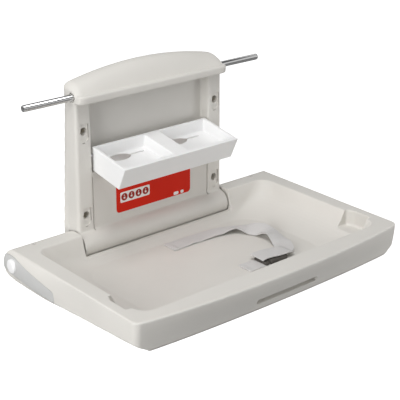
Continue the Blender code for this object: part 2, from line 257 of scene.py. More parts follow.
LABEL_DARK = Finish("label_dark_red_ink", (0.34, 0.03, 0.022),
                    roughness=0.45, specular=0.15, grain=0.7, depth=0.02, mottle=0.04)
ANCHOR = Finish("strap_anchor_grey", (0.62, 0.61, 0.60),
                roughness=0.6, grain=0.8, depth=0.08, mottle=0.03)
BUCKLE = Finish("buckle_dark_acetal", (0.075, 0.068, 0.060),
                roughness=0.42, grain=0.8, depth=0.08, mottle=0.06)
STRAP = Webbing("grey_webbing", (0.62, 0.61, 0.60),
                roughness=0.72, depth=0.5, mottle=0.05, sheen=0.2)


# --------------------------------------------------------------------------
# mesh helpers


def loft(rings: Sequence[Sequence[Point]]) -> bmesh.types.BMesh:
    """Extrude one capped hoop through a series of rings.

    Args:
        rings: Rings of equal length, in millimetres.

    Returns:
        A closed bmesh in metres with its faces pointing out.
    """
    bm = bmesh.new()
    hoop = bmesh.ops.create_circle(bm, cap_ends=True, radius=1.0, segments=len(rings[0]))["verts"]
    face = bm.faces[:][0]
    for index, ring in enumerate(rings):
        if index:
            cap = face
            grown = bmesh.ops.extrude_face_region(bm, geom=[cap])["geom"]
            if index > 1:
                bmesh.ops.delete(bm, geom=[cap], context="FACES_ONLY")
            fresh = {g for g in grown if isinstance(g, bmesh.types.BMVert)}
            face = next(g for g in grown if isinstance(g, bmesh.types.BMFace))
            hoop = [next(e.other_vert(v) for e in v.link_edges if e.other_vert(v) in fresh)
                    for v in hoop]
        for vert, point in zip(hoop, ring):
            vert.co = Vector(point) * MM
    bmesh.ops.remove_doubles(bm, verts=bm.verts, dist=1e-6)
    bmesh.ops.recalc_face_normals(bm, faces=bm.faces)
    return bm


def block(x0: float, x1: float, y0: float, y1: float, z0: float, z1: float,
          bevel: float = 0.0, segments: int = 3) -> bmesh.types.BMesh:
    """Box with rounded edges.

    Args:
        x0, x1, y0, y1, z0, z1: Its limits in millimetres.
        bevel: Edge radius in millimetres.
        segments: Bevel segments.

    Returns:
        A closed bmesh in metres.
    """
    bm = bmesh.new()
    bmesh.ops.create_cube(bm, size=MM)
    bmesh.ops.scale(bm, vec=(abs(x1 - x0), abs(y1 - y0), abs(z1 - z0)), verts=bm.verts)
    bmesh.ops.translate(bm, vec=Vector((x0 + x1, y0 + y1, z0 + z1)) * MM / 2, verts=bm.verts)
    if bevel > 0.0:
        bmesh.ops.bevel(bm, geom=bm.edges[:], offset=bevel * MM, segments=segments,
                        profile=0.5, affect="EDGES", material=-1)
    return bm


def drum(axis: str, a: float, b: float, u: float, v: float, radius: float,
         segments: int = 48, bevel: float = 0.0) -> bmesh.types.BMesh:
    """Cylinder along X or Y.

    Args:
        axis: "X" or "Y".
        a: Start along the axis, in millimetres.
        b: End along the axis.
        u: First coordinate of the centre (y for X, x for Y).
        v: Height of the centre.
        radius: Radius in millimetres.
        segments: Sides.
        bevel: Rim radius.

    Returns:
        A closed bmesh in metres.
    """
    bm = bmesh.new()
    bmesh.ops.create_cone(bm, cap_ends=True, segments=segments, radius1=radius * MM,
                          radius2=radius * MM, depth=abs(b - a) * MM)
    turn = Matrix.Rotation(math.pi / 2, 4, "Y" if axis == "X" else "X")
    bmesh.ops.transform(bm, matrix=turn, verts=bm.verts)
    mid = (a + b) / 2
    place = Vector((mid, u, v)) if axis == "X" else Vector((u, mid, v))
    bmesh.ops.translate(bm, vec=place * MM, verts=bm.verts)
    if bevel > 0.0:
        rims = [e for e in bm.edges if len(e.link_faces) == 2
                and e.calc_face_angle(0.0) > 0.8]
        bmesh.ops.bevel(bm, geom=rims, offset=bevel * MM, segments=3, profile=0.5,
                        affect="EDGES", material=-1)
    return bm


def lathe(axis: str, profile: Sequence[Pair], u: float, v: float,
          steps: int = 48) -> bmesh.types.BMesh:
    """Spin an open or closed profile about an axis.

    Args:
        axis: "X" or "Y".
        profile: (along, radius) pairs in millimetres.
        u: First coordinate of the axis (y for X, x for Y).
        v: Height of the axis.
        steps: Steps of the spin.

    Returns:
        A closed bmesh in metres.
    """
    bm = bmesh.new()
    verts = []
    for along, radius in profile:
        co = (along, u, v + radius) if axis == "X" else (u, along, v + radius)
        verts.append(bm.verts.new(Vector(co) * MM))
    edges = [bm.edges.new(pair) for pair in zip(verts, verts[1:])]
    centre = Vector((0, u, v)) * MM if axis == "X" else Vector((u, 0, v)) * MM
    direction = (1, 0, 0) if axis == "X" else (0, 1, 0)
    bmesh.ops.spin(bm, geom=verts + edges, cent=centre, axis=direction,
                   angle=2 * math.pi, steps=steps, use_merge=True)
    bmesh.ops.remove_doubles(bm, verts=bm.verts, dist=1e-6)
    bmesh.ops.recalc_face_normals(bm, faces=bm.faces)
    return bm


def as_object(name: str, bm: bmesh.types.BMesh) -> bpy.types.Object:
    """Give a bmesh an object at the origin.

    Args:
        name: Piece name.
        bm: Mesh in metres; it is freed.

    Returns:
        The new object.
    """
    mesh = bpy.data.meshes.new(name)
    bm.to_mesh(mesh)
    bm.free()
    obj = bpy.data.objects.new(name, mesh)
    bpy.context.scene.collection.objects.link(obj)
    return obj


def bake_modifiers(obj: bpy.types.Object) -> None:
    """Replace an object's mesh by its evaluated one."""
    graph = bpy.context.evaluated_depsgraph_get()
    mesh = bpy.data.meshes.new_from_object(obj.evaluated_get(graph))
    obj.modifiers.clear()
    old = obj.data
    obj.data = mesh
    bpy.data.meshes.remove(old)


def combine(target: bpy.types.Object, operation: str,
            tools: Iterable[bmesh.types.BMesh]) -> None:
    """Apply exact Booleans with throw-away tools.

    Args:
        target: Object to change.
        operation: "UNION", "DIFFERENCE" or "INTERSECT".
        tools: Closed meshes in metres.
    """
    for bm in tools:
        tool = as_object("tool", bm)
        mod = target.modifiers.new("op", "BOOLEAN")
        mod.operation, mod.solver, mod.object = operation, "EXACT", tool
        bake_modifiers(target)
        mesh = tool.data
        bpy.data.objects.remove(tool, do_unlink=True)
        bpy.data.meshes.remove(mesh)


def carve(target: bpy.types.Object, tools: Sequence[bmesh.types.BMesh]) -> None:
    """Cut crisp details in a finished moulding in one exact Boolean.

    Args:
        target: Object to change.
        tools: Closed meshes in metres that don't touch one another.
    """
    both = bmesh.new()
    for bm in tools:
        mesh = bpy.data.meshes.new("part")
        bm.to_mesh(mesh)
        bm.free()
        both.from_mesh(mesh)
        bpy.data.meshes.remove(mesh)
    combine(target, "DIFFERENCE", [both])
    shade(target, 32)


def mould(obj: bpy.types.Object, voxel: float, passes: int, limit: int) -> None:
    """Melt a sharp solid into one moulding with soft fillets.

    Args:
        obj: Closed solid.
        voxel: Remesh size in millimetres.
        passes: Smoothing passes.
        limit: Most faces kept.
    """
    melt = obj.modifiers.new("melt", "REMESH")
    melt.mode, melt.voxel_size = "VOXEL", voxel * MM
    melt.use_smooth_shade = True
    ease = obj.modifiers.new("ease", "SMOOTH")
    ease.factor, ease.iterations = 0.5, passes
    bake_modifiers(obj)
    count = sum(len(p.vertices) - 2 for p in obj.data.polygons)
    if count > limit:
        thin = obj.modifiers.new("thin", "DECIMATE")
        thin.ratio = limit / count
        bake_modifiers(obj)
    for poly in obj.data.polygons:
        poly.use_smooth = True


def shade(obj: bpy.types.Object, angle: float = 35.0) -> None:
    """Smooth shading that keeps edges sharper than ``angle`` degrees."""
    for poly in obj.data.polygons:
        poly.use_smooth = True
    obj.data.set_sharp_from_angle(angle=math.radians(angle))


def dress(obj: bpy.types.Object, finish: Finish, body: Body, slot: str,
          *nodes: str) -> bpy.types.Object:
    """Finish a piece, ride it on its body and hide the CAD nodes it stands for.

    Args:
        obj: The piece.
        finish: Its finish.
        body: Body it moves with.
        slot: Material slot of the record; not used.
        nodes: CAD nodes it replaces.

    Returns:
        The same object.
    """
    obj.data.materials.clear()
    obj.data.materials.append(finish.build())
    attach(obj, body.value)
    if nodes:
        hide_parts(*nodes)
    LOG.info("%s: %d faces on %s", obj.name, len(obj.data.polygons), body.value)
    return obj


def smooth(lo: float, hi: float, value: float) -> float:
    """Smooth step from 0 at ``lo`` to 1 at ``hi``."""
    t = min(1.0, max(0.0, (value - lo) / (hi - lo)))
    return t * t * (3.0 - 2.0 * t)


def spread(start: float, stop: float, count: int) -> list[float]:
    """Evenly spaced values, ends included."""
    return [start + (stop - start) * i / (count - 1) for i in range(count)]


# --------------------------------------------------------------------------
# wall frame


@dataclass
class WallFrame:
    """Rails, hood, recessed panels and hinge barrel in one moulding."""

    axis_y: float = HINGE_Y
    axis_z: float = HINGE_Z
    roll: float = 32.0
    half: float = 226.0
    lip: float = 177.0
    crease: float = 198.5
    crest: float = 246.0
    hole_x: float = 203.2
    hole_z: float = 106.0

    def hood_section(self, x: float, inset: float, low: float) -> list[Point]:
        """Section of the hood at ``x``: a pillow that falls to a crease above a lip.

        Args:
            x: Station along the hood.
            inset: Wall thickness taken off, for the hollow.
            low: Height of the open bottom.

        Returns:
            The section as one ring.
        """
        u = min(1.0, max(0.0, (abs(x) - 206.0) / 20.0))
        end = 1.0 - math.sqrt(1.0 - u * u)
        crest = self.crest - 28.0 * (x / 230.0) ** 2 - 15.0 * end - inset
        crease, back = self.crease - inset, (-2.0 if inset else 0.0)
        front = -80.0 + inset + 11.0 * end
        foot = -65.0 + inset + 9.0 * end
        ring = [(x, back, low), (x, back, crest - 8.0),
                (x, -5.0, crest - 4.5), (x, -12.0, crest - 1.2)]
        for t in spread(0.0, 1.0, 14):
            ring.append((x, -20.0 + (foot + 20.0) * t,
                         crease + (crest - crease) * (1.0 - t ** 2.3)))
        ring += [(x, foot - 2.0, crease - 2.6), (x, foot - 4.5, crease - 2.8),
                 (x, front + 6.5, crease - 0.2), (x, front + 3.0, crease - 0.4),
                 (x, front, crease - 4.0), (x, front + 1.5, low)]
        turn = min(1.0, max(0.0, (abs(x) - 214.0) / 12.0))
        rear = -26.0 * (1.0 - math.sqrt(1.0 - turn * turn))
        return [(a, min(b, rear), c) for a, b, c in ring]

    def rail(self, side: Side) -> bmesh.types.BMesh:
        """One upright rail, splayed at the wall towards its foot."""
        s = side.value
        rings = []
        for z in (-150.5, -60.0, 60.0, 140.0, 179.5):
            up = (z + 150.5) / 330.0
            rear, front = 235.0 - 18.0 * up, 228.0 - 3.5 * up
            plan = [(182.3, 0.0), (rear, 0.0), (rear, -3.0), (front + 0.4, -14.0), (front, -45.0),
                    (front - 1.2, -51.0), (front - 5.0, -55.0), (184.3, -55.0), (182.3, -53.0)]
            rings.append([(s * x, y, z) for x, y in plan])
        return loft(rings)

    def fixing_recess(self, side: Side, level: float) -> list[bmesh.types.BMesh]:
        """Cutters of one fixing hole with its shallow pocket, key slit and drain mark.

        Args:
            side: Rail of the hole.
            level: Height of the hole.

        Returns:
            Closed cutters in metres.
        """
        x = side.value * self.hole_x
        pocket = [(x - 8.5, level - 24), (x + 8.5, level - 24), (x + 10.5, level - 20),
                  (x + 10.5, level + 19), (x - 8.5, level + 19), (x - 8.5, level - 18)]
        return [loft([[(u, y, z) for u, z in pocket] for y in (-60.0, -52.8)]),
                lathe("Y", [(-60, 0.001), (-60, 10.0), (-18, 9.6), (-18, 5.6), (2, 5.6), (2, 0.001)],
                      x, level, 40),
                block(x + 10.7, x + 13.5, -58, -40, level - 17, level + 18),
                block(x - 4.5, x + 3.0, -58, -52.0, level - 29.5, level - 27.2)]

    def build(self) -> bpy.types.Object:
        """Model and dress the moulding."""
        ends = [self.half - 20.0 * (1.0 - math.cos(math.radians(a)))
                for a in (0, 12, 24, 36, 50, 65, 80)]
        stations = sorted([-x for x in ends] + ends + spread(-200.0, 200.0, 41))
        frame = as_object("frame_moulding",
                          loft([self.hood_section(x, 0.0, self.lip) for x in stations]))
        inner = [-222.0, -216.0, -208.0] + spread(-200.0, 200.0, 21) + [208.0, 216.0, 222.0]
        combine(frame, "DIFFERENCE", [loft([self.hood_section(x, 4.5, 168.0) for x in inner])])
        arch = [(x, 243.6 - 28.0 * (x / 230.0) ** 2) for x in spread(PANEL_HALF, -PANEL_HALF, 25)]
        panel = loft([[(x, y, z) for x, z in [(-PANEL_HALF, -6), (PANEL_HALF, -6)] + arch]
                      for y in (-24.5, -17.5)])
        combine(frame, "UNION", [
            self.rail(Side.LEFT), self.rail(Side.RIGHT), panel,
            block(-PANEL_HALF, PANEL_HALF, -51, -43.5, -153, -3),
            block(-PANEL_HALF, PANEL_HALF, -49.5, -18.5, -9.5, -3.2),
            drum("X", -229, 229, self.axis_y, self.axis_z, self.roll, 96),
            block(-212, 212, -30, -3.4, -196, -151.5)]
            + [block(s * 200, s * b, y, 0, -172, -140)
               for s in (-1, 1) for b, y in ((231, -14), (234.5, -3))])
        cutters = [drum("X", -240, 240, self.axis_y, self.axis_z, 26.9, 64),
                   block(-212.5, 212.5, -3.4, 5, -200, 198.5)]
        for side in Side:
            s = side.value
            cutters.append(drum("X", s * 214, s * 250, ROD_Y, ROD_Z, 10.9, 40))
            for z0, z1 in ((-146, -132), (-78, 78), (132, 175.5)):
                cutters.append(block(s * 187, s * 213, -50.0, -1.0, z0, z1))
        combine(frame, "DIFFERENCE", cutters)
        mould(frame, 1.9, 13, 190000)
        recesses = [self.fixing_recess(side, level)
                    for side in Side for level in (-self.hole_z, self.hole_z)]
        carve(frame, [tools[0] for tools in recesses])
        carve(frame, [tool for tools in recesses for tool in tools[1:]]
              + [block(s * 180.4, s * 182.8, -60, -46.5, -156, -12) for s in (-1, 1)])
        return dress(frame, SHELL, Body.FRAME, "shell", "wall_frame")


# --------------------------------------------------------------------------
# bed


@dataclass
class Bed:
    """Basin moulding of the fold-down bed and the pan below it."""

    axis_y: float = HINGE_Y
    axis_z: float = HINGE_Z
    rim: float = RIM_Z
    floor: float = FLOOR_Z
    half: float = 405.0
    notch: float = 233.0

    def front(self, x: float) -> float:
        """Front edge of the rim, bowed towards the user."""
        return -(509.0 + 31.0 * max(0.0, 1.0 - (x / self.half) ** 2) ** 0.8)

    def plan(self) -> list[Pair]:
        """Outline as (share of half width, share of depth) pairs."""
        points = [(-1.0, t * 0.971) for t in spread(0.0, 1.0, 36)]
        for i in range(1, 10):
            a = math.pi / 2 * i / 10
            points.append((-1.0 + 0.034 * (1 - math.cos(a)), 0.971 + 0.029 * math.sin(a)))
        points += [(x, 1.0) for x in spread(-0.966, 0.0, 36)]
        return points + [(-x, y) for x, y in reversed(points[:-1])]

    def outline(self, z: float, grow: float = 0.0) -> list[Point]:
        """Outline of the bed at height ``z``, moved in or out by ``grow``."""
        t = smooth(0.0, 1.0, max(0.0, (-150.0 - z) / 72.0))
        swell = max(0.0, 1.0 - ((z + 184.0) / 42.0) ** 2)
        edge = 2.5 if z > -144.5 else 0.0
        h = min(1.0, abs(z - self.axis_z) / (37.5 + max(0.0, -213.0 - z)))
        rear = self.axis_y + 2.0 + 33.0 * max(0.02, 1.0 - h ** 3) ** (1 / 3) + grow
        if z < -213.0:
            rear = min(rear, self.axis_y + 6.0 + grow)
        ring = []
        for fx, fy in self.plan():
            front = self.front(fx * self.half) + (5.0 + 14.0 * (1.0 - fx * fx)) * t + edge - grow
            y = rear + (front - rear) * fy
            fade = 1.0 - smooth(110.0, 330.0, -y)
            half = self.half - edge + 13.0 * swell * fade - 2.0 * t + grow
            facet = 404.0 + 0.1126 * (y + 205.0) + (z + 217.0) / 0.57 + grow
            ring.append((math.copysign(min(abs(fx) * half, facet), fx) if fx else 0.0, y, z))
        return ring

    def basin(self, z: float, grow: float = 0.0) -> list[Point]:
        """Outline of the basin at height ``z``, drawn in towards the floor."""
        d = min(1.0, max(0.0, (self.rim - z) / (self.rim - self.floor)))
        side = 92.0 * (0.35 * d + 0.65 * d ** 4) - grow
        back = 40.0 * (0.45 * d + 0.55 * d ** 5) - grow
        front = 64.0 * d ** 2.4 - grow
        half, y0, y1 = 364.0 - side, -76.0 - back, -480.0 + front
        rad = 34.0 + 40.0 * d
        ring = []
        for sx, rear, a0 in ((-1, True, 90), (-1, False, 180), (1, False, 270), (1, True, 0)):
            cy = y0 - rad if rear else y1 + rad
            for i in range(14):
                a = math.radians(a0 + 90 * i / 13)
                ring.append((sx * (half - rad) + rad * math.cos(a), cy + rad * math.sin(a), z))
        return ring

    def notch_cutter(self, grow: float = 0.0) -> bmesh.types.BMesh:
        """Clearance for the hinge barrel and the wall frame."""
        r = 34.5 + grow
        outline = [(self.axis_y, -260.0), (self.axis_y, self.axis_z - r)]
        for i in range(1, 16):
            a = math.radians(270 - 4.0 * i)
            outline.append((self.axis_y + r * math.cos(a), self.axis_z + r * math.sin(a)))
        outline += [(-98 - grow, -196 - grow), (-104 - grow, -180), (-104 - grow, -100),
                    (40, -100), (40, -260)]
        return loft([[(x, y, z) for y, z in outline]
                     for x in (-self.notch - grow, self.notch + grow)])

    def hook_pocket(self, side: Side, grow: float = 0.0) -> bmesh.types.BMesh:
        """Pocket for a bag hook that also clears the end of the rod."""
        s, g = side.value, grow
        plan = [(318 - g, -372 + g), (372 + g, -372 + g), (380 + g, -392),
                (380 + g, -445 - g), (318 - g, -445 - g)]
        return loft([[(s * x, y, z) for x, y in plan] for z in (-184 - g, -130)])

    def handle_groove(self) -> bmesh.types.BMesh:
        """Finger groove across the front edge, with rounded ends."""
        return block(-80, 108, -600, -510, -200.5, -188.5, 4.0, 4)

    def cover_outline(self, grow: float = 0.0) -> list[Pair]:
        """Outline of the side cover and its recess in (y, z)."""
        g = grow
        return [(-62, -154 + g), (-46, -153 + g), (-31, -153.5 + g), (-10, -157 + g),
                (-10, -188 - g), (-22, -192 - g), (-42, -199.5 - g), (-72, -203 - g),
                (-106, -207.5 - g), (-141, -211 - g), (-174, -213 - g), (-206, -214.5 - g),
                (-212 - g, -211 - g), (-215 - g, -206), (-215.5 - g, -188),
                (-213.5 - g, -184.5 + g), (-209 - g, -181.5 + g), (-186, -177 + g),
                (-153, -170.5 + g), (-116, -164 + g), (-76, -157 + g)]

    def cover_block(self, side: Side, grow: float) -> bmesh.types.BMesh:
        """Block of the side cover: its inner face comes in towards its front end.

        Args:
            side: Side of the bed.
            grow: Growth of the outline; negative for the cover itself.

        Returns:
            A closed mesh in metres.
        """
        rim = self.cover_outline(grow)
        inner = [(side.value * (409.0 - grow - 6.5 * smooth(80.0, 209.0, -y)), y, z)
                 for y, z in rim]
        return loft([inner, [(side.value * 445.0, y, z) for y, z in rim]])

    def build(self) -> None:
        """Model and dress the basin moulding and the pan."""
        levels = [self.rim, -144.6, -149, -154, -160, -166, -172, -178, -184, -190, -196, -202,
                  -207, -210, -213, -217]
        bed = as_object("bed_moulding", loft([self.outline(z) for z in levels]))
        sink = [-140, self.rim, -146, -150, -156, -163, -170, -177, -184, -190, -196, -201, -205,
                -208, -211, -213.4, self.floor]
        combine(bed, "DIFFERENCE", [loft([self.basin(z) for z in sink]), self.notch_cutter()])
        cutters = [self.hook_pocket(Side.LEFT), self.hook_pocket(Side.RIGHT), self.handle_groove()]
        for side in Side:
            s = side.value
            cutters += [drum("X", s * 225, s * 430, self.axis_y, self.axis_z, 20.3, 40)]
        combine(bed, "DIFFERENCE", cutters)
        mould(bed, 2.2, 3, 180000)
        carve(bed, [self.cover_block(side, 0.0) for side in Side]
              + [lathe("Y", [(DIMPLE_Y - DIMPLE_R, 0.001), (DIMPLE_Y - DIMPLE_R, 2.0),
                             (DIMPLE_Y, DIMPLE_R), (DIMPLE_Y + DIMPLE_R, 2.0),
                             (DIMPLE_Y + DIMPLE_R, 0.001)],
                       side.value * DIMPLE_X, self.rim, 20) for side in Side])
        dress(bed, SHELL, Body.BED, "shell", "bed_tray")
        self.build_pan()

    def build_pan(self) -> None:
        """Model the closing pan under the bed."""
        steps = ((-0.5, -217.4), (-3.0, -220.0), (-6.0, -222.0), (-12.0, -224.8),
                 (-20.0, -227.0), (-45.0, -230.0))
        pan = as_object("bed_pan", loft([[(x, y, z) for x, y, _ in self.outline(-217.0, g)]
                                          for g, z in steps]))
        inner = [[(x, y, z) for x, y, _ in self.outline(-217.0, g)]
                 for g, z in ((-9.0, -210.0), (-13.0, -221.0), (-40.0, -226.5))]
        rear = [(self.axis_y - 4, -300), (self.axis_y - 4, -200), (100, -200), (100, -300)]
        slot = loft([[(x, y, z) for y, z in rear] for x in (-self.notch - 5, self.notch + 5)])
        combine(pan, "DIFFERENCE", [loft(inner), slot])
        combine(pan, "UNION", [block(-253, 253, self.axis_y - 9, self.axis_y - 4, -227.5, -217.4)])
        shade(pan, 30)
        dress(pan, SHELL, Body.BED, "shell", "bed_underside")


@dataclass
class SidePivot:
    """Grey side cover with its round white cap, one for each side."""

    bed: Bed

    def build(self, side: Side) -> None:
        """Model and dress the cover and the cap of one side."""
        s = side.value
        levels = spread(-144.8, -217.0, 30)
        cover = as_object(f"cover_{side.label}", loft([self.bed.outline(z, -0.2) for z in levels]))
        combine(cover, "INTERSECT", [self.bed.cover_block(side, -0.9)])
        combine(cover, "DIFFERENCE", [drum("X", s * 400, s * 445, HINGE_Y, CAP_Z, 17.6, 48)])
        bevel = cover.modifiers.new("edge", "BEVEL")
        bevel.width, bevel.segments, bevel.angle_limit = 0.8 * MM, 2, math.radians(40)
        bake_modifiers(cover)
        shade(cover, 30)
        dress(cover, COVER_GREY, Body.BED, "cover_grey", f"side_cover_{side.label}")
        profile = [(402.0, 0.001), (402.0, 9.0), (410.2, 9.0), (410.2, 17.2), (417.0, 17.2),
                   (419.2, 16.4), (420.6, 14.6), (421.3, 11.0), (421.7, 6.0), (421.8, 0.001)]
        cap = as_object(f"cap_{side.label}",
                        lathe("X", [(s * x, r) for x, r in profile], HINGE_Y, CAP_Z, 64))
        shade(cap, 40)
        dress(cap, CAP_WHITE, Body.BED, "cap_white", f"pivot_cap_{side.label}")


# --------------------------------------------------------------------------
# liner tray, rod, label, hardware


@dataclass
class LinerTray:
    """White tray with two wells, each with a tissue-type opening."""

    half: float = 176.0
    slope: float = math.tan(math.radians(10.0))

    def side_outline(self) -> list[Pair]:
        """Side view of the tray in (y, z), sloping down to its front."""
        s = self.slope
        return [(-46.0, 1.0), (-46.0, 61.0), (-176.5, 61.0 - s * 130.5),
                (-150.5, 1.0 - s * 104.5)]

    def opening(self, cx: float) -> bmesh.types.BMesh:
        """Lens-shaped opening in a well floor."""
        outline = []
        for i in range(40):
            a = 2 * math.pi * i / 40
            outline.append((cx + 33 * math.cos(a), -70 + 15.5 * math.sin(a)))
        return loft([[(x, y, z) for x, y in outline] for z in (0.0, 40.0)])

    def build(self) -> bpy.types.Object:
        """Model and dress the tray."""
        s = self.slope
        tray = as_object("liner_dispenser", loft(
            [[(x, y, z) for y, z in self.side_outline()] for x in (-self.half, self.half)]))
        cutters = []
        for a, b in ((-self.half + 4, -18.0), (18.0, self.half - 4)):
            cutters.append(loft([
                [(a, -50, 90), (b, -50, 90), (b, -171, 70), (a, -171, 70)],
                [(a + 8, -54, 31 - s * 4), (b - 8, -54, 31 - s * 4),
                 (b - 8, -158, 31 - s * 108), (a + 8, -158, 31 - s * 108)]]))
        x = self.half - 4
        cutters.append(loft([
            [(-x, -50, -20), (x, -50, -20), (x, -136.7, -38), (-x, -136.7, -38)],
            [(-x, -50, 26.5), (x, -50, 26.5),
             (x, -158.4, 26.5 - s * 103.9), (-x, -158.4, 26.5 - s * 103.9)]]))
        for cx in (-113.0, 63.0):
            cutters += [self.opening(cx), block(cx - 48, cx + 74, -72.0, -68.0, -4, 45)]
        combine(tray, "DIFFERENCE", cutters)
        ear = ((-49, 33), (-44.5, 33), (-43, 40), (-44.5, 47), (-49, 47))
        ears = []
        for side in Side:
            k = side.value
            ears += [loft([[(x, y, z) for y, z in ear] for x in (k * 160, k * self.half)]),
                     block(k * 120, k * 140, -47, -26, 6, 10.5)]
        combine(tray, "UNION", ears)
        mould(tray, 1.3, 3, 150000)
        return dress(tray, TRAY_WHITE, Body.TRAY, "tray_white", "liner_tray")


@dataclass
class HangingRod:
    """Polished rod through the hood with plugs at its ends."""

    y: float = ROD_Y
    z: float = ROD_Z

    def build(self) -> None:
        """Model and dress the rod, its plugs and its grommets."""
        profile = [(-354, 6.5), (354, 6.5), (354, 7.6), (353.4, 8.0),
                   (-353.4, 8.0), (-354, 7.6), (-354, 6.5)]
        rod = as_object("rod_tube", lathe("X", profile, self.y, self.z, 64))
        shade(rod, 40)
        dress(rod, ROD_STEEL, Body.FRAME, "rod_steel", "hanging_rod")
        for side in Side:
            s = side.value
            plug = as_object(f"rod_end_{side.label}", lathe("X", [
                (s * 340, 0.001), (s * 340, 6.2), (s * 354.3, 6.2), (s * 354.3, 8.0),
                (s * 355.4, 8.0), (s * 356.8, 7.2), (s * 357.5, 5.0), (s * 357.5, 0.001)],
                self.y, self.z, 48))
            shade(plug, 40)
            dress(plug, ROD_STEEL, Body.FRAME, "rod_steel", f"rod_plug_{side.label}")
            grommet = as_object(f"rod_collar_{side.label}", lathe("X", [
                (s * 213.0, 8.3), (s * 222.4, 8.3), (s * 223.0, 8.9), (s * 223.0, 10.1),
                (s * 222.4, 10.7), (s * 213.0, 10.7), (s * 213.0, 8.3)], self.y, self.z, 48))
            shade(grommet, 40)
            dress(grommet, SHELL, Body.FRAME, "shell", f"rod_grommet_{side.label}")


@dataclass
class InstructionLabel:
    """Red film label with a white box of four generic round pictograms."""

    x0: float = -112.0
    x1: float = 124.0
    z0: float = -127.0
    z1: float = -22.0
    face: float = -51.6

    def sheet(self, name: str, x0: float, x1: float, z0: float, z1: float, radius: float,
              back: float, front: float) -> bpy.types.Object:
        """Thin rounded rectangle standing on the panel."""
        bm = block(x0, x1, front, back, z0, z1)
        corners = [e for e in bm.edges if abs(e.verts[0].co.y - e.verts[1].co.y) > 1e-5]
        bmesh.ops.bevel(bm, geom=corners, offset=radius * MM, segments=6, profile=0.5,
                        affect="EDGES", material=-1)
        return as_object(name, bm)

    def build(self) -> None:
        """Model and dress the film and its print."""
        film = self.sheet("label_film", self.x0, self.x1, self.z0, self.z1, 9.0, -51.3, self.face)
        dress(film, LABEL_RED, Body.FRAME, "label_red", "instruction_label")
        box = self.sheet("label_box", -100, -8.5, -102.5, -75, 4.0, self.face, self.face - 0.15)
        dress(box, LABEL_WHITE, Body.FRAME, "label_red")
        row = -88.5
        for i, cx in enumerate(spread(-87.5, -21.5, 4)):
            disc = as_object(f"label_icon_{i + 1}",
                             drum("Y", self.face - 0.30, self.face - 0.15, cx, row, 9.6, 40))
            dress(disc, LABEL_DARK, Body.FRAME, "label_red")
            for k, (w, h, up) in enumerate(((1.7, 1.7, 4.2), (2.6, 2.6, -2.2))):
                mark = self.sheet(f"label_sign_{i + 1}_{k + 1}", cx - w, cx + w,
                                  row + up - h, row + up + h, 1.9, self.face - 0.30, self.face - 0.40)
                dress(mark, LABEL_WHITE, Body.FRAME, "label_red")
        for i, (cx, w) in enumerate(((77, 8), (97, 5.2))):
            mark = self.sheet(f"label_mark_{i + 1}", cx - w, cx + w, -125, -116.5, 4.0,
                              self.face, self.face - 0.15)
            dress(mark, LABEL_WHITE, Body.FRAME, "label_red")


def carry_over() -> None:
    """Give the CAD nodes that stay in view their finishes."""
    finishes: dict[str, Finish] = {"steel": STEEL, "nylon": NYLON, "plated": PLATED}
    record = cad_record["record"]
    slots = {p["node"]: p["material_slot"] for p in record["subparts"]}
    for node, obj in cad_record["nodes"].items():
        finish = finishes.get(slots.get(node, ""))
        if finish is None:
            continue
        for slot in obj.material_slots:
            slot.material = (ANCHOR if node.startswith("strap_plate") else finish).build()
        LOG.info("%s keeps its CAD shape", node)


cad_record: dict = {}


# --------------------------------------------------------------------------
# strap


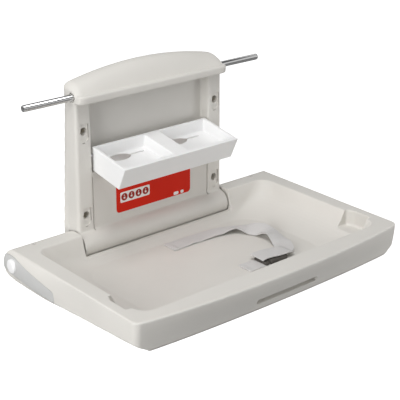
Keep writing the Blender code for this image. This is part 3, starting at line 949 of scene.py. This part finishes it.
@dataclass
class Strap:
    """Grey webbing strap with its buckle, lying in the basin.

    A station is (x, y, rise of the inner edge, rise of the outer edge).
    """

    floor: float = FLOOR_Z
    width: float = 46.0
    thick: float = 1.6
    long_run: tuple[tuple[float, ...], ...] = (
        (-6, -145, 0.6, 0.2), (22, -144, 0.4, 0), (42, -144, 2.6, 0), (62, -145, 0.2, 0),
        (84, -146, 2.5, 0.3), (112, -148, 4.0, 0.5), (138, -153, 5.0, 1.5), (158, -161, 12, 2),
        (178, -171, 15, 3), (193, -187, 9, 7), (204, -205, 1.5, 16), (212, -226, 3, 20),
        (216, -247, 13, 15), (217, -268, 18, 8), (214, -288, 11, 4),
        (209, -304, 4, 7), (202, -318, 1.5, 9), (191, -336, 3, 9), (177, -348, 7, 8))
    tail_run: tuple[tuple[float, ...], ...] = (
        (187, -351, 8, 7), (172, -352, 12.4, 12), (158, -352, 13.6, 13.2), (142, -351, 13.7, 13.4),
        (126, -347, 13.8, 13.4), (110, -345, 13.9, 13.5), (98, -344, 13, 12.6), (88, -344, 11.8, 10.8))
    short_run: tuple[tuple[float, ...], ...] = (
        (52, -354, 0.6, 0.2), (64, -354, 1.4, 0.4), (78, -354, 1.0, 0.6), (90, -354, 0.4, 0.2))

    def station(self, run: Sequence[Sequence[float]], share: float) -> list[float]:
        """Catmull-Rom point of a run.

        Args:
            run: Stations of the run.
            share: Place along the run, 0 to 1.

        Returns:
            The interpolated station.
        """
        place = min(share * (len(run) - 1), len(run) - 1.001)
        i = int(place)
        t = place - i
        p0, p1, p2, p3 = (run[max(0, min(len(run) - 1, i + k))] for k in (-1, 0, 1, 2))
        return [0.5 * (2 * b + (c - a) * t + (2 * a - 5 * b + 4 * c - d) * t * t
                       + (3 * b - a - 3 * c + d) * t ** 3)
                for a, b, c, d in zip(p0, p1, p2, p3)]

    def band(self, name: str, run: Sequence[Sequence[float]],
             rows: int) -> tuple[bpy.types.Object, float]:
        """Lay a woven ribbon along a run, with its own UV map.

        Args:
            name: Piece name.
            run: Stations of the run.
            rows: Rows of faces along it.

        Returns:
            The ribbon and its length in metres.
        """
        bm = bmesh.new()
        bmesh.ops.create_grid(bm, x_segments=6, y_segments=rows, size=0.5)
        grid = sorted(bm.verts, key=lambda v: (round(v.co.y, 5), v.co.x))
        uv = bm.loops.layers.uv.new("UVMap")
        spots: dict[bmesh.types.BMVert, Pair] = {}
        length = 0.0
        last = None
        for i in range(rows + 1):
            x, y, inner, outer = self.station(run, i / rows)
            x1, y1, *_ = self.station(run, min(1.0, i / rows + 0.004))
            x0, y0, *_ = self.station(run, max(0.0, i / rows - 0.004))
            along = Vector((x1 - x0, y1 - y0, 0)).normalized()
            across = Vector((-along.y, along.x, 0))
            mid = Vector((x, y, self.floor + 1.4 + (inner + outer) / 2))
            length += (mid - last).length if last is not None else 0.0
            last = mid
            flat = math.sqrt(max(1.0, self.width ** 2 - (outer - inner) ** 2)) / 2
            for k in range(7):
                share = k / 3.0 - 1.0
                crown = 0.6 * (1.0 - share * share)
                vert = grid[7 * i + k]
                rise = Vector((0, 0, (outer - inner) / 2 * share + crown))
                vert.co = (mid + across * flat * share + rise) * MM
                spots[vert] = (length * MM, share * self.width / 2 * MM)
        for face in bm.faces:
            for loop in face.loops:
                loop[uv].uv = spots[loop.vert]
        bmesh.ops.recalc_face_normals(bm, faces=bm.faces)
        obj = as_object(name, bm)
        thick = obj.modifiers.new("thick", "SOLIDIFY")
        thick.thickness, thick.offset = self.thick * MM, 0.0
        bake_modifiers(obj)
        shade(obj, 50)
        return obj, length * MM

    def stitches(self, name: str, cx: float, cy: float, z: float) -> bpy.types.Object:
        """Box of short raised stitches near an end of the webbing."""
        rows = bmesh.new()
        places = [(cx + 2.6 * i, cy + k * 15.0, 1.7, 0.45) for i in range(-4, 5) for k in (-1, 1)]
        places += [(cx + k * 12.5, cy + 2.6 * i, 0.45, 1.7) for i in range(-5, 6) for k in (-1, 1)]
        for x, y, a, b in places:
            bm = block(x - a / 2, x + a / 2, y - b / 2, y + b / 2, z - 0.5, z + 0.35, 0.15, 1)
            mesh = bpy.data.meshes.new("stitch")
            bm.to_mesh(mesh)
            bm.free()
            rows.from_mesh(mesh)
            bpy.data.meshes.remove(mesh)
        return as_object(name, rows)

    def buckle(self) -> None:
        """Side-release buckle: ribbed housing and a two-pronged tongue."""
        low = self.floor + 0.4
        body = as_object("buckle_housing", block(106, 162, -377, -331, low, low + 11, 3.2, 4))
        combine(body, "DIFFERENCE", [block(98, 134, -371, -337, low + 2.6, low + 8.4, 1.0, 2),
                                     block(145, 149, -374, -334, low - 2, low + 14, 1.2, 2)])
        ribs = [block(110 + 4 * i, 111.6 + 4 * i, y - 1.2, y + 1.2, low + 2.5, low + 8.5, 0.5, 2)
                for i in range(5) for y in (-377, -331)]
        combine(body, "UNION", ribs)
        shade(body, 35)
        dress(body, BUCKLE, Body.BED, "buckle_dark", "buckle_body")
        tongue = as_object("buckle_tongue_piece",
                           block(90, 104.5, -375, -333, low + 1, low + 9.5, 2.6, 4))
        combine(tongue, "UNION", [block(100, 129, y - 4, y + 4, low + 3.2, low + 7.8, 1.4, 3)
                                  for y in (-364, -344)])
        combine(tongue, "DIFFERENCE", [block(94, 97.5, -371, -337, low - 2, low + 14, 1.0, 2)])
        shade(tongue, 35)
        dress(tongue, BUCKLE, Body.BED, "buckle_dark", "buckle_tongue")

    def build(self) -> None:
        """Model and dress the webbing, its stitching and the buckle."""
        pieces = (("strap_webbing_long", self.long_run, 120, ("strap_long",)),
                  ("strap_webbing_tail", self.tail_run, 30, ()),
                  ("strap_webbing_short", self.short_run, 16, ("strap_short",)))
        for name, run, rows, nodes in pieces:
            obj, length = self.band(name, run, rows)
            dress(obj, STRAP, Body.BED, "webbing", *nodes)
            if name != "strap_webbing_short":
                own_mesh(obj)
        for name, cx, cy in (("strap_stitches_rear", 14.0, -144.0),
                             ("strap_stitches_front", 70.0, -354.0)):
            dress(self.stitches(name, cx, cy, self.floor + 3.2), STRAP, Body.BED, "webbing")
        self.buckle()


# --------------------------------------------------------------------------
# studio


@dataclass
class Studio:
    """Pale floor, soft light and the camera."""

    lens: float = 98.88
    place: Point = (-1580.4, -2080.8, 927.6)
    yaw: float = 40.355
    pitch: float = 22.133
    roll: float = 0.147

    def floor(self) -> None:
        """Wide pale floor at standing height below the station."""
        bm = bmesh.new()
        bmesh.ops.create_grid(bm, x_segments=1, y_segments=1, size=30.0)
        bmesh.ops.translate(bm, vec=(0, 0, -1.05), verts=bm.verts)
        plane = as_object("studio_floor", bm)
        mat = bpy.data.materials.new("studio_floor")
        mat.use_nodes = True
        shader = mat.node_tree.nodes["Principled BSDF"]
        shader.inputs["Base Color"].default_value = (0.6, 0.6, 0.6, 1)
        shader.inputs["Roughness"].default_value = 0.9
        shader.inputs["Emission Color"].default_value = (1, 1, 1, 1)
        rays = mat.node_tree.nodes.new("ShaderNodeLightPath")
        mat.node_tree.links.new(rays.outputs["Is Camera Ray"], shader.inputs["Emission Strength"])
        plane.data.materials.append(mat)

    def light(self, name: str, place: Point, target: Point, size: float, power: float) -> None:
        """One square soft box aimed at a target."""
        data = bpy.data.lights.new(name, "AREA")
        data.shape, data.size, data.energy = "SQUARE", size, power
        obj = bpy.data.objects.new(name, data)
        obj.location = place
        obj.rotation_euler = (Vector(target) - Vector(place)).to_track_quat("-Z", "Y").to_euler()
        bpy.context.scene.collection.objects.link(obj)

    def camera(self) -> None:
        """Camera at the viewing angle of a tall person to the left."""
        data = bpy.data.cameras.new("camera")
        data.lens, data.sensor_width = self.lens, 36.0
        data.shift_x, data.shift_y = 0.01035, -0.002
        data.clip_end = 100.0
        cam = bpy.data.objects.new("camera", data)
        a, e, r = (math.radians(v) for v in (self.yaw, self.pitch, self.roll))
        forward = Vector((math.sin(a) * math.cos(e), math.cos(a) * math.cos(e), -math.sin(e)))
        right = Vector((math.cos(a), -math.sin(a), 0))
        up = right.cross(forward)
        side = right * math.cos(r) + up * math.sin(r)
        top = up * math.cos(r) - right * math.sin(r)
        turn = Matrix((side, top, -forward)).transposed().to_4x4()
        cam.matrix_world = Matrix.Translation(Vector(self.place) * MM) @ turn
        bpy.context.scene.collection.objects.link(cam)
        bpy.context.scene.camera = cam

    def world(self) -> None:
        """White surround for the camera, softer light for the rest, banded for gloss."""
        world = bpy.data.worlds.new("studio")
        world.use_nodes = True
        tree = world.node_tree
        back = tree.nodes["Background"]
        back.inputs["Color"].default_value = (1, 1, 1, 1)
        rays = tree.nodes.new("ShaderNodeLightPath")
        level = tree.nodes.new("ShaderNodeMapRange")
        level.inputs["To Max"].default_value = 1.05
        tree.links.new(rays.outputs["Is Camera Ray"], level.inputs["Value"])
        tree.links.new(level.outputs["Result"], back.inputs["Strength"])
        coords = tree.nodes.new("ShaderNodeTexCoord")
        split = tree.nodes.new("ShaderNodeSeparateXYZ")
        tree.links.new(coords.outputs["Generated"], split.inputs["Vector"])
        band = tree.nodes.new("ShaderNodeValToRGB")
        stops = ((0.0, 0.28), (0.40, 0.30), (0.47, 0.9), (0.66, 0.85), (0.72, 0.10),
                 (0.9, 0.25))
        while len(band.color_ramp.elements) < len(stops):
            band.color_ramp.elements.new(0.5)
        for element, (place, tone) in zip(band.color_ramp.elements, stops):
            element.position, element.color = place, (tone, tone, tone, 1)
        span = tree.nodes.new("ShaderNodeMapRange")
        span.inputs["From Min"].default_value = -1.0
        tree.links.new(split.outputs["Z"], span.inputs["Value"])
        tree.links.new(span.outputs["Result"], band.inputs["Fac"])
        glossy = tree.nodes.new("ShaderNodeMix")
        tree.links.new(rays.outputs["Is Glossy Ray"], glossy.inputs[0])
        glossy.inputs[2].default_value = 0.35
        tree.links.new(band.outputs["Color"], glossy.inputs[3])
        tree.links.new(glossy.outputs[0], level.inputs["To Min"])
        bpy.context.scene.world = world

    def build(self) -> None:
        """Set up the whole studio."""
        bpy.context.scene.view_settings.view_transform = "Standard"
        self.floor()
        self.world()
        self.camera()
        target = (0.0, -0.25, -0.05)
        self.light("left_box", (-2.6, -0.7, 0.6), target, 1.6, 44)
        self.light("top_box", (-0.3, -0.8, 2.2), target, 1.2, 25)
        self.light("right_box", (1.1, -1.15, -0.05), (0.40, -0.5, -0.2), 0.6, 3.4)


def main() -> None:
    """Build the station and the studio in order."""
    logging.basicConfig(level=logging.INFO, format="%(name)s %(message)s")
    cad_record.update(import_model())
    carry_over()
    WallFrame().build()
    bed = Bed()
    bed.build()
    for side in Side:
        SidePivot(bed).build(side)
    LinerTray().build()
    HangingRod().build()
    InstructionLabel().build()
    Strap().build()
    Studio().build()


if __name__ == "__main__":
    main()
